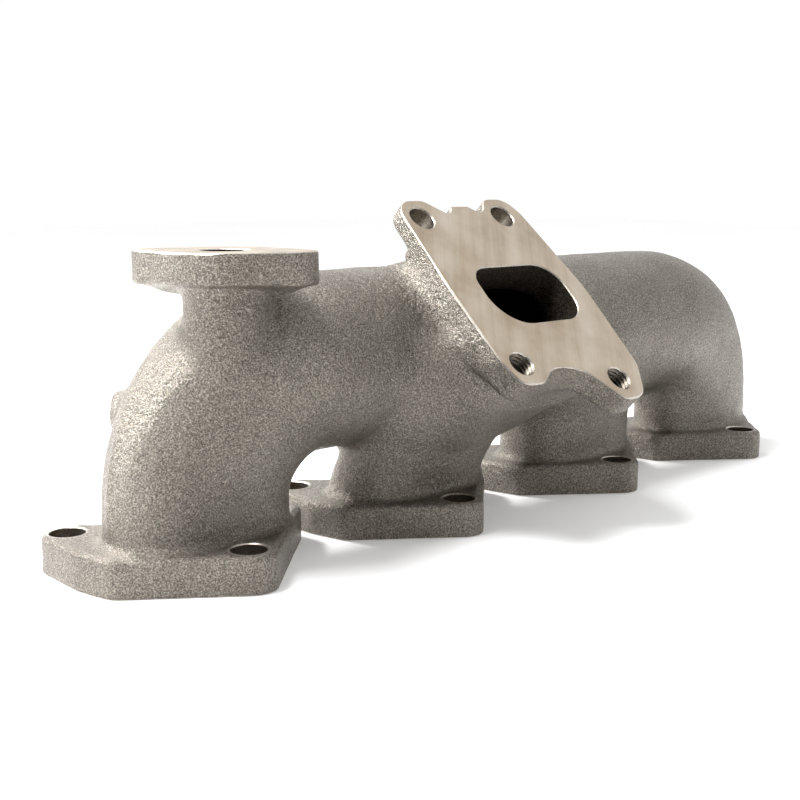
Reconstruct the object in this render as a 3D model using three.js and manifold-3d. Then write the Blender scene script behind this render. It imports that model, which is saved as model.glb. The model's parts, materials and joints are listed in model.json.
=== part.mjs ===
// Cast exhaust manifold for an inline four: four head flanges, four runners, a log collector,
// a tilted turbocharger flange on a neck, a small relief flange and a sensor boss.
// Millimetres, +Z up. It stands on its four head faces (Z = 0), with +X along the row of ports
// and -Y towards the side that the turbocharger flange faces.
import * as THREE from 'three';
import { mergeVertices } from 'three/addons/utils/BufferGeometryUtils.js';
import Module from 'manifold-3d';

const wasm = await Module();
wasm.setup();

// ---- Driving dimensions -------------------------------------------------------------------
const PORT_PITCH = 88; // one exhaust port to the next, the engine's bore pitch
const PORT_COUNT = 4;
const ROW_HALF = (PORT_PITCH * (PORT_COUNT - 1)) / 2; // middle of the row to its end ports
const WALL = 5.5; // wall of every cast passage

// Head flanges: one plate per port, two bolts on a diagonal.
const HEAD_FLANGE_THICK = 12;
const HEAD_BOLT_R = 5.6;
const HEAD_BOLT_EDGE = 8.5; // hole centre to the rim of the ear around it
const REAR_BOLT = { x: -31.5, y: 26 };
const FRONT_BOLT = { x: 0.5, y: -26.5 };

// Runners: a wide oval at the head, a circle at the collector.
const FOOT_HALF_WIDE = 31; // half the oval along the row
const FOOT_HALF_DEEP = 17.5; // half the oval across the row
const FOOT_SQUARENESS = 2.6; // superellipse power of the oval
const END_BEND_R = 41; // centreline bend of the two end runners
const FOOT_STRAIGHT = 8; // an end runner's straight length above its flange

// Collector: a straight round log above the four ports.
const LOG_R = 30;
const LOG_AXIS_Y = 2;
const LOG_AXIS_Z = HEAD_FLANGE_THICK + FOOT_STRAIGHT + END_BEND_R;

// Turbocharger flange: its face looks forward and up.
const TURBO_TILT = 45; // degrees from facing straight up
const TURBO_AT = { x: -22, y: LOG_AXIS_Y - 36.8, z: LOG_AXIS_Z + 19.7 }; // machined face's middle
const TURBO_THICK = 10.5;
const TURBO_TOP_HOLE_R = 4.8;
const TURBO_TAPPED_HOLE_R = 4.3; // tapping size of the two lower, threaded holes
const TURBO_TOP_HOLES = [{ x: -22, y: 37.7 }, { x: 18.1, y: 37.7 }];
const TURBO_TAPPED_HOLES = [{ x: -20.3, y: -26.6 }, { x: 20.2, y: -38.1 }];
const TURBO_LOBE_R = 8.7; // metal around each of the four holes
const TURBO_PORT = { left: -15.6, right: 25.5, bottom: -11.2, top: 14.1 };
const TURBO_LOBE_THICK = 7; // the two upper lobes are spot-faced behind to this
const TURBO_SPOTFACE_R = 10;
const NECK_STRAIGHT = 22; // depth below the machined face where the neck starts to taper
const NECK_ROOT_INSET = 6; // the neck's root stands this far inside the log
const NECK_INSET = 1; // the neck stands this far inside the flange's side edges

// Relief flange on top of runner 1, on a short round neck.
const RELIEF_AT = { x: 6.5 - ROW_HALF, y: LOG_AXIS_Y - 10.5 };
const RELIEF_TOP_Z = LOG_AXIS_Z + 38.5;
const RELIEF_THICK = 10;
const RELIEF_BORE_R = 7.7;
const RELIEF_HALF_LONG = 29;
const RELIEF_HALF_WIDE = 20;
const RELIEF_END_R = 9;
const RELIEF_TURN = -53; // degrees from +X to the flange's long axis

// Sensor boss on the back of runner 1.
const BOSS_R = 6.5;
const BOSS_AT = { x: -7.4 - ROW_HALF, y: LOG_AXIS_Y + 9.5, z: LOG_AXIS_Z - 11.5 };
const BOSS_TURN = 140; // degrees from +X to the way the boss points
const BOSS_LENGTH = 13; // from BOSS_AT to its end

// Clearances between separate sections that meet on a slant.
const SLANT_GAP = 0.3;

// Smoothness.
const AROUND = 32;
const ARC_STEPS = 5;

// ---- Solids -------------------------------------------------------------------------------
function toSolid(geometry, matrix = new THREE.Matrix4()) {
  const bare = geometry.clone().applyMatrix4(matrix);
  bare.deleteAttribute('normal');
  bare.deleteAttribute('uv');
  const merged = mergeVertices(bare, 1e-4);
  return new wasm.Manifold(new wasm.Mesh({
    numProp: 3,
    vertProperties: new Float32Array(merged.attributes.position.array),
    triVerts: new Uint32Array(merged.index.array),
  }));
}

function toGeometry(solid) {
  const mesh = solid.getMesh();
  const geometry = new THREE.BufferGeometry();
  geometry.setAttribute('position', new THREE.BufferAttribute(mesh.vertProperties, 3));
  geometry.setIndex(new THREE.BufferAttribute(mesh.triVerts, 1));
  geometry.computeVertexNormals();
  return geometry;
}

function boxBetween(low, high) {
  const size = new THREE.Vector3().subVectors(high, low);
  const middle = new THREE.Vector3().addVectors(low, high).multiplyScalar(0.5);
  const matrix = new THREE.Matrix4().makeTranslation(middle.x, middle.y, middle.z);
  return toSolid(new THREE.BoxGeometry(size.x, size.y, size.z), matrix);
}

// A closed skin through a list of rings. A ring is a superellipse: middle, its two axes, the
// half-sizes along them and its squareness.
function loft(rings) {
  const positions = [];
  const index = [];
  for (const ring of rings) {
    for (let i = 0; i < AROUND; i += 1) {
      const angle = (i / AROUND) * Math.PI * 2;
      const power = 2 / ring.squareness;
      const c = Math.sign(Math.cos(angle)) * Math.abs(Math.cos(angle)) ** power;
      const s = Math.sign(Math.sin(angle)) * Math.abs(Math.sin(angle)) ** power;
      const point = ring.middle.clone()
        .addScaledVector(ring.along, ring.halfAlong * c)
        .addScaledVector(ring.across, ring.halfAcross * s);
      positions.push(point.x, point.y, point.z);
    }
  }
  const last = rings.length - 1;
  for (let r = 0; r < last; r += 1) {
    for (let i = 0; i < AROUND; i += 1) {
      const a = r * AROUND + i;
      const b = r * AROUND + ((i + 1) % AROUND);
      index.push(a, b, b + AROUND, a, b + AROUND, a + AROUND);
    }
  }
  for (let i = 1; i < AROUND - 1; i += 1) {
    index.push(0, i + 1, i);
    index.push(last * AROUND, last * AROUND + i, last * AROUND + i + 1);
  }
  const geometry = new THREE.BufferGeometry();
  geometry.setAttribute('position', new THREE.Float32BufferAttribute(positions, 3));
  geometry.setIndex(index);
  return toSolid(geometry);
}

// A flat outline from corners [x, y, radius], each rounded by a true arc.
function roundedOutline(corners, PathType = THREE.Shape) {
  const path = new PathType();
  const count = corners.length;
  for (let i = 0; i < count; i += 1) {
    const [x, y, radius] = corners[i];
    const [px, py] = corners[(i + count - 1) % count];
    const [nx, ny] = corners[(i + 1) % count];
    const toPrevious = new THREE.Vector2(px - x, py - y).normalize();
    const toNext = new THREE.Vector2(nx - x, ny - y).normalize();
    const half = Math.acos(THREE.MathUtils.clamp(toPrevious.dot(toNext), -1, 1)) / 2;
    const setback = radius / Math.tan(half);
    const bisector = toPrevious.clone().add(toNext).normalize();
    const centre = new THREE.Vector2(x, y).addScaledVector(bisector, radius / Math.sin(half));
    const start = new THREE.Vector2(x, y).addScaledVector(toPrevious, setback).sub(centre);
    const end = new THREE.Vector2(x, y).addScaledVector(toNext, setback).sub(centre);
    const leftTurn = toPrevious.cross(toNext) < 0;
    path.absarc(centre.x, centre.y, radius, start.angle(), end.angle(), !leftTurn);
  }
  path.closePath();
  return path;
}

function circle(x, y, radius) {
  return new THREE.Path().absarc(x, y, radius, 0, Math.PI * 2, true);
}

function plate(shape, thickness, matrix) {
  const options = { depth: thickness, bevelEnabled: false, curveSegments: ARC_STEPS };
  return toSolid(new THREE.ExtrudeGeometry(shape, options), matrix);
}

function roundBar(radius, from, to, segments = 24) {
  const way = new THREE.Vector3().subVectors(to, from);
  const middle = new THREE.Vector3().addVectors(from, to).multiplyScalar(0.5);
  const up = new THREE.Vector3(0, 1, 0);
  const turn = new THREE.Quaternion().setFromUnitVectors(up, way.clone().normalize());
  const matrix = new THREE.Matrix4().compose(middle, turn, new THREE.Vector3(1, 1, 1));
  return toSolid(new THREE.CylinderGeometry(radius, radius, way.length(), segments), matrix);
}

// ---- Places -------------------------------------------------------------------------------
const X = new THREE.Vector3(1, 0, 0);
const Y = new THREE.Vector3(0, 1, 0);
const Z = new THREE.Vector3(0, 0, 1);
const portX = Array.from({ length: PORT_COUNT }, (_, i) => i * PORT_PITCH - ROW_HALF);
const LOG_END_X = ROW_HALF - END_BEND_R; // where the log hands over to an end runner's bend
const FOOT_TOP = HEAD_FLANGE_THICK;
const LOG_BOTTOM = LOG_AXIS_Z - LOG_R;

// The turbocharger flange's own frame: +X along the row, +Z out of its machined face.
const turboTurn = new THREE.Matrix4().makeRotationX(THREE.MathUtils.degToRad(TURBO_TILT));
const turboFrame = new THREE.Matrix4()
  .makeTranslation(TURBO_AT.x, TURBO_AT.y, TURBO_AT.z)
  .multiply(turboTurn);

const turboAcross = new THREE.Vector3(0, 1, 0).applyMatrix4(turboTurn);

function inTurboFrame(x, y, z) {
  return new THREE.Vector3(x, y, z).applyMatrix4(turboFrame);
}

// ---- The four runners, the log and the two necks, as outer skins and as gas passages -------
// side is -1 for the first runner and +1 for the last; inset is 0 for the skin.
function endRunner(side, inset) {
  const rings = [];
  const startZ = inset > 0 ? -1 : FOOT_TOP;
  const bendZ = LOG_AXIS_Z - END_BEND_R;
  const bendSteps = 8;
  const push = (x, z, angle, share) => {
    const blend = THREE.MathUtils.smoothstep(share, 0, 1);
    rings.push({
      middle: new THREE.Vector3(side * x, LOG_AXIS_Y * blend, z),
      along: new THREE.Vector3(side * Math.cos(angle), 0, Math.sin(angle)),
      across: new THREE.Vector3(0, side, 0),
      halfAlong: THREE.MathUtils.lerp(FOOT_HALF_WIDE, LOG_R, blend) - inset,
      halfAcross: THREE.MathUtils.lerp(FOOT_HALF_DEEP, LOG_R, blend) - inset,
      squareness: THREE.MathUtils.lerp(FOOT_SQUARENESS, 2, blend),
    });
  };
  push(ROW_HALF, startZ, 0, 0);
  for (let i = 0; i <= bendSteps; i += 1) {
    const angle = (i / bendSteps) * (Math.PI / 2);
    const x = LOG_END_X + END_BEND_R * Math.cos(angle);
    const z = bendZ + END_BEND_R * Math.sin(angle);
    push(x, z, angle, i / bendSteps);
  }
  if (inset > 0) push(LOG_END_X - 1, LOG_AXIS_Z, Math.PI / 2, 1);
  return loft(rings);
}

// A middle runner rises from its port and leans towards a place on the collector.
function middleRunner(x, inset, lean) {
  const rings = [];
  const steps = 7;
  const push = (share, z) => {
    const blend = THREE.MathUtils.smoothstep(share, 0, 1);
    rings.push({
      middle: new THREE.Vector3(x + lean.x * blend, lean.y * blend, z),
      along: X,
      across: Y,
      halfAlong: THREE.MathUtils.lerp(FOOT_HALF_WIDE, lean.halfAlong, blend) - inset,
      halfAcross: THREE.MathUtils.lerp(FOOT_HALF_DEEP, lean.halfAcross, blend) - inset,
      squareness: THREE.MathUtils.lerp(FOOT_SQUARENESS, 2.2, blend),
    });
  };
  if (inset > 0) push(0, -1);
  for (let i = 0; i <= steps; i += 1) {
    push(i / steps, THREE.MathUtils.lerp(FOOT_TOP, lean.z, i / steps));
  }
  return loft(rings);
}
const LEAN_2 = { x: 18, y: LOG_AXIS_Y - 22, z: LOG_AXIS_Z + 5, halfAlong: 33, halfAcross: 21 };
const LEAN_3 = { x: -2, y: LOG_AXIS_Y - 2, z: LOG_AXIS_Z - 1, halfAlong: 29, halfAcross: 24 };

function log(inset) {
  const radius = LOG_R - inset;
  const reach = LOG_END_X + (inset > 0 ? 1 : 0);
  return roundBar(
    radius,
    new THREE.Vector3(-reach, LOG_AXIS_Y, LOG_AXIS_Z),
    new THREE.Vector3(reach, LOG_AXIS_Y, LOG_AXIS_Z),
    AROUND,
  );
}

// The turbocharger neck runs from the back of its flange into the log.
function turboNeck(inset) {
  const port = TURBO_PORT;
  const mouth = {
    x: (port.left + port.right) / 2,
    y: (port.bottom + port.top) / 2,
    halfX: (port.right - port.left) / 2,
    halfY: (port.top - port.bottom) / 2,
  };
  const block = { x: 1.5, y: -0.5, halfX: 31 - NECK_INSET, halfY: 32 - NECK_INSET };
  const start = inset > 0 ? mouth : block;
  const startDepth = inset > 0 ? -1 : TURBO_THICK;
  const straightDepth = inset > 0 ? TURBO_THICK : NECK_STRAIGHT;
  const rootDepth = new THREE.Vector3(0, LOG_AXIS_Y, LOG_AXIS_Z)
    .applyMatrix4(turboFrame.clone().invert()).z * -1;
  const root = { x: 0, y: 0, halfX: LOG_R - inset, halfY: LOG_R - inset - NECK_ROOT_INSET };
  const rings = [];
  const push = (depth, blend) => rings.push({
    middle: inTurboFrame(
      THREE.MathUtils.lerp(start.x, root.x, blend),
      THREE.MathUtils.lerp(start.y, root.y, blend),
      -depth,
    ),
    along: X,
    across: turboAcross.clone().negate(),
    halfAlong: THREE.MathUtils.lerp(start.halfX, root.halfX, blend),
    halfAcross: THREE.MathUtils.lerp(start.halfY, root.halfY, blend),
    squareness: inset > 0 ? 3 : 4,
  });
  push(startDepth, 0);
  const steps = 4;
  for (let i = 0; i <= steps; i += 1) {
    push(THREE.MathUtils.lerp(straightDepth, rootDepth, i / steps), i / steps);
  }
  return loft(rings);
}

function reliefNeck(radius, topZ) {
  return roundBar(
    radius,
    new THREE.Vector3(RELIEF_AT.x, RELIEF_AT.y, LOG_AXIS_Z),
    new THREE.Vector3(RELIEF_AT.x, RELIEF_AT.y, topZ),
  );
}

const reliefNeckR = RELIEF_BORE_R + WALL;
const reliefUnderside = RELIEF_TOP_Z - RELIEF_THICK;

const join = (solids) => solids.reduce((whole, piece) => whole.add(piece));

const footPassages = portX.map((x, i) => {
  if (i === 0) return endRunner(-1, WALL);
  if (i === PORT_COUNT - 1) return endRunner(1, WALL);
  return middleRunner(x, WALL, i === 1 ? LEAN_2 : LEAN_3);
});

const middleSkin = join([
  log(0),
  middleRunner(portX[1], 0, LEAN_2),
  middleRunner(portX[2], 0, LEAN_3),
  turboNeck(0),
]);
const middleGas = join([log(WALL), footPassages[1], footPassages[2], turboNeck(WALL)]);

// Everything behind the turbocharger flange, less the slant gap.
const FAR = 400;
const behindTurbo = toSolid(
  new THREE.BoxGeometry(FAR, FAR, FAR),
  turboFrame.clone().multiply(
    new THREE.Matrix4().makeTranslation(0, 0, -FAR / 2 - TURBO_THICK - SLANT_GAP),
  ),
);

const middleCasting = middleSkin.subtract(middleGas).intersect(behindTurbo);
const reliefBore = reliefNeck(RELIEF_BORE_R, RELIEF_TOP_Z + 1);
const firstSkin = endRunner(-1, 0);
const firstRunner = firstSkin.subtract(join([footPassages[0], reliefBore, reliefStock()]));
const lastRunner = endRunner(1, 0).subtract(footPassages[PORT_COUNT - 1]);
const neckOnRunner = reliefNeck(reliefNeckR, reliefUnderside)
  .subtract(firstSkin.translate(0, 0, SLANT_GAP))
  .subtract(reliefBore);

function section(lowX, highX, lowZ, highZ) {
  return middleCasting.intersect(boxBetween(
    new THREE.Vector3(lowX, -FAR, lowZ),
    new THREE.Vector3(highX, FAR, highZ),
  ));
}

// ---- Plates -------------------------------------------------------------------------------
function headFlange(x, passage) {
  const ear = HEAD_BOLT_EDGE;
  const left = REAR_BOLT.x - ear;
  const back = REAR_BOLT.y + ear - 1;
  const shape = roundedOutline([
    [left, 6, 10],
    [-36.5, -9, 6],
    [FRONT_BOLT.x + 1.5, FRONT_BOLT.y - ear - 2.5, 8],
    [44, 4, 8],
    [40, 25, 12],
    [-15, 25, 12],
    [REAR_BOLT.x + 7, back, 6],
    [left, back, 8],
  ]);
  shape.holes.push(circle(REAR_BOLT.x, REAR_BOLT.y, HEAD_BOLT_R));
  shape.holes.push(circle(FRONT_BOLT.x, FRONT_BOLT.y, HEAD_BOLT_R));
  const matrix = new THREE.Matrix4().makeTranslation(x, 0, 0);
  return plate(shape, HEAD_FLANGE_THICK, matrix).subtract(passage);
}

function turboFlange() {
  const lobe = TURBO_LOBE_R;
  const [topLeft, topRight] = TURBO_TOP_HOLES;
  const [lowLeft, lowRight] = TURBO_TAPPED_HOLES;
  const shape = roundedOutline([
    [topLeft.x - lobe + 0.4, topLeft.y + lobe, 8],
    [lowLeft.x - lobe - 1.6, 8, 60],
    [lowLeft.x - lobe, lowLeft.y + 2, 20],
    [lowLeft.x - lobe + 3, lowLeft.y - lobe, 7],
    [lowLeft.x + 4.5, lowLeft.y - lobe - 0.3, 6],
    [-8, -30.5, 7],
    [5, -32, 12],
    [lowRight.x - 4, lowRight.y - lobe - 0.5, 7],
    [lowRight.x + 7.5, lowRight.y - lobe, 8],
    [lowRight.x + 14.6, lowRight.y + 4, 9],
    [35.6, 2, 50],
    [topRight.x + 11, topRight.y + 1, 8],
    [topRight.x + 7, topRight.y + lobe + 0.2, 8],
    [topRight.x - 4.5, topRight.y + lobe + 0.2, 6],
    [9, 39.2, 3],
    [3.5, 43.3, 3],
    [-5, 43.3, 2],
    [-7.5, 39.2, 2],
    [topLeft.x + 5.5, topLeft.y + lobe, 6],
  ]);
  const port = TURBO_PORT;
  shape.holes.push(roundedOutline([
    [port.left, port.top, 5],
    [port.right, port.top, 11],
    [port.right, port.bottom, 9],
    [port.left, port.bottom, 12],
  ], THREE.Path));
  for (const hole of TURBO_TOP_HOLES) {
    shape.holes.push(circle(hole.x, hole.y, TURBO_TOP_HOLE_R));
  }
  for (const hole of TURBO_TAPPED_HOLES) {
    shape.holes.push(circle(hole.x, hole.y, TURBO_TAPPED_HOLE_R));
  }
  const down = new THREE.Matrix4().makeTranslation(0, 0, -TURBO_THICK);
  const whole = plate(shape, TURBO_THICK, turboFrame.clone().multiply(down));
  return TURBO_TOP_HOLES.reduce((body, hole) => body.subtract(roundBar(
    TURBO_SPOTFACE_R,
    inTurboFrame(hole.x, hole.y, -TURBO_LOBE_THICK - TURBO_THICK),
    inTurboFrame(hole.x, hole.y, -TURBO_LOBE_THICK),
  )), whole);
}

// The relief flange before it is bored. The runner below stays clear of it.
function reliefStock() {
  const reach = RELIEF_HALF_LONG - RELIEF_END_R;
  const shape = new THREE.Shape();
  const slope = Math.acos((RELIEF_HALF_WIDE - RELIEF_END_R) / reach);
  shape.absarc(reach, 0, RELIEF_END_R, -slope, slope, false);
  shape.absarc(0, 0, RELIEF_HALF_WIDE, slope, Math.PI - slope, false);
  shape.absarc(-reach, 0, RELIEF_END_R, Math.PI - slope, Math.PI + slope, false);
  shape.absarc(0, 0, RELIEF_HALF_WIDE, Math.PI + slope, 2 * Math.PI - slope, false);
  shape.closePath();
  const matrix = new THREE.Matrix4()
    .makeTranslation(RELIEF_AT.x, RELIEF_AT.y, reliefUnderside)
    .multiply(new THREE.Matrix4().makeRotationZ(THREE.MathUtils.degToRad(RELIEF_TURN)));
  return plate(shape, RELIEF_THICK, matrix);
}

function sensorBoss() {
  const turn = THREE.MathUtils.degToRad(BOSS_TURN);
  const way = new THREE.Vector3(Math.cos(turn), Math.sin(turn), 0);
  const at = new THREE.Vector3(BOSS_AT.x, BOSS_AT.y, BOSS_AT.z);
  const end = at.clone().addScaledVector(way, BOSS_LENGTH);
  const root = at.clone().addScaledVector(way, -BOSS_R);
  const cleared = firstSkin.translate(way.x * SLANT_GAP, way.y * SLANT_GAP, 0);
  return roundBar(BOSS_R, root, end, 20).subtract(cleared);
}

// ---- The assembly -------------------------------------------------------------------------
const CAST = { color: 0x8c857b, roughness: 0.75, metalness: 0.6 };
const MACHINED = { color: 0xb9aa98, roughness: 0.4, metalness: 0.9 };

const CENTRE_LOW_X = TURBO_AT.x - 32;
const CENTRE_HIGH_X = TURBO_AT.x + 38;

const pieces = [
  ['runner_1', firstRunner, CAST],
  ['runner_2', section(-LOG_END_X, 0, FOOT_TOP, LOG_BOTTOM), CAST],
  ['runner_3', section(0, LOG_END_X, FOOT_TOP, LOG_BOTTOM), CAST],
  ['runner_4', lastRunner, CAST],
  ['collector_left', section(-FAR, CENTRE_LOW_X, LOG_BOTTOM, FAR), CAST],
  ['collector_centre', section(CENTRE_LOW_X, CENTRE_HIGH_X, LOG_BOTTOM, FAR), CAST],
  ['collector_right', section(CENTRE_HIGH_X, FAR, LOG_BOTTOM, FAR), CAST],
  ['turbo_flange', turboFlange(), MACHINED],
  ['relief_neck', neckOnRunner, CAST],
  ['relief_flange', reliefStock().subtract(reliefBore), MACHINED],
  ['sensor_boss', sensorBoss(), CAST],
  ...portX.map((x, i) => [
    `head_flange_${i + 1}`, headFlange(x, footPassages[i]), MACHINED,
  ]),
];

const manifold = new THREE.Group();
for (const [name, solid, look] of pieces) {
  const mesh = new THREE.Mesh(toGeometry(solid), new THREE.MeshStandardMaterial(look));
  mesh.name = name;
  manifold.add(mesh);
}

// The origin is the middle of the footprint, on the plane of the head faces.
const envelope = new THREE.Box3().setFromObject(manifold);
const middle = envelope.getCenter(new THREE.Vector3());
manifold.position.set(-middle.x, -middle.y, 0);

export default manifold;
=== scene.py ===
# %% [markdown]
# # A cast exhaust manifold, cast first and machined after
# The real part is one sand casting in iron. A foundry pours it, a shot-blaster cleans its skin,
# and a mill then faces the flanges and drills the holes. The same order is kept here: soft,
# filleted cast shapes come first, as a volume, and crisp cuts come last, as booleans. The frame
# below is the engineering model. Every place is read from it, so nothing has to be fitted.

# %% Load the frame
import json
import math

import bpy
import numpy as np
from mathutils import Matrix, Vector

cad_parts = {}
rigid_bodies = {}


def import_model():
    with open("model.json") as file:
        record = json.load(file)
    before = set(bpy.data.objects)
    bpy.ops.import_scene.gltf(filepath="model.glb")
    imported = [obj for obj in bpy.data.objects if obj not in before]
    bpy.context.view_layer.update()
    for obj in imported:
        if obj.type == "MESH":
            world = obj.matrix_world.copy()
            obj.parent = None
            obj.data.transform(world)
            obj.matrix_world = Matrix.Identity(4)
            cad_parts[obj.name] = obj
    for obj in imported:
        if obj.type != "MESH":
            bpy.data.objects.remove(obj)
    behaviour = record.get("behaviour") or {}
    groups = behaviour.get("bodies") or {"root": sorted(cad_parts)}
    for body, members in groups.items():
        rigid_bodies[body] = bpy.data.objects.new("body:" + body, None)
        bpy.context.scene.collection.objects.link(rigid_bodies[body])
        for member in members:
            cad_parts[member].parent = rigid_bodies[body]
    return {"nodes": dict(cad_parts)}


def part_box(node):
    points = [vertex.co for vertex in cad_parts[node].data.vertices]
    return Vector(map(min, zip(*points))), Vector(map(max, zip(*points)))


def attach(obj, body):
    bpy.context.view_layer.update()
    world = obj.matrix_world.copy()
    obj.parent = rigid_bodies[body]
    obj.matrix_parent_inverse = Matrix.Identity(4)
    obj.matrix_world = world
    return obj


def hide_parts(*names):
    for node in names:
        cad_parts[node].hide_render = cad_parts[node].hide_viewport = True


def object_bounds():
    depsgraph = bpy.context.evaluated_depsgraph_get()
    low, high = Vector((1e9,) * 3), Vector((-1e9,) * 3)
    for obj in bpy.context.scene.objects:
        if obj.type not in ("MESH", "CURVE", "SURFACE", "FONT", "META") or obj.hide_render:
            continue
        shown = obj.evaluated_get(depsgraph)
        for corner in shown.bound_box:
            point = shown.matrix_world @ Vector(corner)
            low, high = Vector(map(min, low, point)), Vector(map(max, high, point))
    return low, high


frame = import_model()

import openvdb as vdb
from mathutils import Matrix, Vector
from mathutils.geometry import tessellate_polygon

MM = 0.001  # the modelling below is in millimetres, and Blender is in metres
cad_low, cad_high = [np.array(corner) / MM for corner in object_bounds()]
print("frame:", len(frame["nodes"]), "nodes,", (cad_high - cad_low).round(1), "mm")


# %% [markdown]
# ## The camera
# A camera is three unit vectors and a place. Writing the viewing direction and the up direction
# down is easier to check than three Euler angles, so the matrix is built from them. The object
# is looked at from the left of its front, a little from above, as if held at bench height.

# %% Camera
CAMERA_AT = Vector((-0.328237, -0.292619, 0.118915))
CAMERA_LENS = 53.56  # mm, on a sensor 36 mm wide
LOOK = Vector((0.65905, 0.73057, -0.17863)).normalized()
camera_right = LOOK.cross(Vector((0, 0, 1))).normalized()
camera_up = camera_right.cross(LOOK)
camera = bpy.data.objects.new("camera", bpy.data.cameras.new("camera"))
bpy.context.scene.collection.objects.link(camera)
aimed = Matrix((camera_right, camera_up, -LOOK)).transposed().to_4x4()
camera.matrix_world = Matrix.Translation(CAMERA_AT) @ aimed
camera.data.lens = CAMERA_LENS
camera.data.sensor_width = 36
camera.data.clip_start = 0.01
bpy.context.scene.camera = camera
print("camera", round(math.degrees(math.asin(-LOOK.z)), 1), "degrees above level")


# %% [markdown]
# ## Where things are
# The shapes repeat the engineering sizes, and the places come from the boxes of the packed
# nodes. A head flange's left edge is a known distance from its port, and the log's back and
# top stand one radius from its axis, so two boxes give the whole layout.

# %% Sizes and places
def node_box(name):
    low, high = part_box(name)
    return np.array(low) / MM, np.array(high) / MM


WALL = 5.5
LOG_R = 30.0
BEND_R = 41.0
FOOT_WIDE, FOOT_DEEP, FOOT_SQUARENESS = 31.0, 17.5, 2.6
PORT_TO_EDGE = 40.0
PORT_TO_LOG_Y = 2.0

head_boxes = [node_box(f"head_flange_{n}") for n in (1, 2, 3, 4)]
port_x = [box[0][0] + PORT_TO_EDGE for box in head_boxes]
FLANGE_TOP = head_boxes[0][1][2]
log_y = node_box("collector_left")[1][1] - LOG_R
log_z = node_box("collector_left")[1][2] - LOG_R
port_y = log_y - PORT_TO_LOG_Y
row_middle = (port_x[0] + port_x[3]) / 2
print("ports at x", np.round(port_x, 2), "log axis y z", round(log_y, 2), round(log_z, 2))


# %% [markdown]
# ## Flat outlines
# A flange outline is a polygon with a radius at every corner, as a drawing gives it. Each
# corner becomes a true arc here, with a point every few degrees, so its edge reads as a curve.

# %% Rounded outline
ARC_DEGREES = 6


def rounded_outline(corners):
    points = []
    for i, (x, y, radius) in enumerate(corners):
        here = np.array([x, y])
        before = np.array(corners[i - 1][:2]) - here
        after = np.array(corners[(i + 1) % len(corners)][:2]) - here
        before = before / np.linalg.norm(before)
        after = after / np.linalg.norm(after)
        half = math.acos(np.clip(before @ after, -1, 1)) / 2
        bisector = (before + after) / np.linalg.norm(before + after)
        centre = here + bisector * radius / math.sin(half)
        setback = radius / math.tan(half)
        first = here + before * setback - centre
        last = here + after * setback - centre
        start = math.atan2(first[1], first[0])
        sweep = (math.atan2(last[1], last[0]) - start + math.pi) % (2 * math.pi) - math.pi
        count = max(2, math.ceil(abs(math.degrees(sweep)) / ARC_DEGREES))
        for angle in start + sweep * np.linspace(0, 1, count + 1):
            points.append(centre + radius * np.array([math.cos(angle), math.sin(angle)]))
    return np.array(points)


def grown(outline, by):
    """The outline moved outwards, each point along its own normal."""
    along = np.roll(outline, -1, axis=0) - np.roll(outline, 1, axis=0)
    outwards = np.stack([along[:, 1], -along[:, 0]], axis=1)
    outwards /= np.linalg.norm(outwards, axis=1)[:, None]
    x, y = outline.T
    area = (x * np.roll(y, -1) - np.roll(x, -1) * y).sum()
    return outline + outwards * by * np.sign(area)


# %% [markdown]
# ## The flange outlines
# The head flange is a slab with two bolt ears on a diagonal, and the turbocharger flange has
# four lobes round a port. Their corners are listed as a drawing gives them: x, y and the radius,
# in millimetres from the port's middle or from the middle of the machined face.

# %% Outlines of the head and turbocharger flanges
HEAD_CORNERS = [
    (-40, 6, 10), (-36.5, -9, 6), (2, -37.5, 8), (44, 4, 8),
    (40, 25, 12), (-15, 25, 12), (-24.5, 33.5, 6), (-40, 33.5, 8),
]
TURBO_CORNERS = [
    (-30.3, 46.4, 8), (-30.6, 8, 60), (-29, -24.6, 20), (-26, -35.3, 7), (-15.8, -35.6, 6),
    (-8, -30.5, 7), (5, -32, 12), (16.2, -47.3, 7), (27.7, -46.8, 8), (34.8, -34.1, 9),
    (35.6, 2, 50), (29.1, 38.7, 8), (25.1, 46.6, 8), (13.6, 46.6, 6), (9, 39.2, 3),
    (3.5, 43.3, 3), (-5, 43.3, 2), (-7.5, 39.2, 2), (-16.5, 46.4, 6),
]
PORT_LEFT, PORT_RIGHT, PORT_BOTTOM, PORT_TOP = -15.6, 25.5, -11.2, 14.1
PORT_CORNERS = [
    (PORT_LEFT, PORT_TOP, 7), (PORT_RIGHT, PORT_TOP, 11),
    (PORT_RIGHT, PORT_BOTTOM, 9), (PORT_LEFT, PORT_BOTTOM, 14),
]
head_outline = rounded_outline(HEAD_CORNERS)
turbo_outline = rounded_outline(TURBO_CORNERS)
port_outline = rounded_outline(PORT_CORNERS)
print("outline points", len(head_outline), len(turbo_outline), len(port_outline))


# %% [markdown]
# ## The relief flange's outline
# This small flange is an oval with narrow ends: a big arc on each long side, a small one on
# each end, and straight lines that touch both. The angle at which such a line
# touches follows from the two radii and their distance, so no corner has to be typed.

# %% Outline of the relief flange
RELIEF_LONG, RELIEF_WIDE, RELIEF_END_R = 29.0, 20.0, 9.0  # half sizes, and the end's radius
RELIEF_TURN = math.radians(-53)  # from the row to the flange's long axis


def oval_outline(half_long, half_wide, end_r):
    reach = half_long - end_r
    slope = math.acos((half_wide - end_r) / reach)
    arcs = [
        (reach, end_r, -slope, slope), (0, half_wide, slope, math.pi - slope),
        (-reach, end_r, math.pi - slope, math.pi + slope),
        (0, half_wide, math.pi + slope, 2 * math.pi - slope),
    ]
    points = []
    for x, radius, start, end in arcs:
        for angle in np.linspace(start, end, math.ceil(math.degrees(end - start) / ARC_DEGREES)):
            points.append([x + radius * math.cos(angle), radius * math.sin(angle)])
    return np.array(points)


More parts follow.
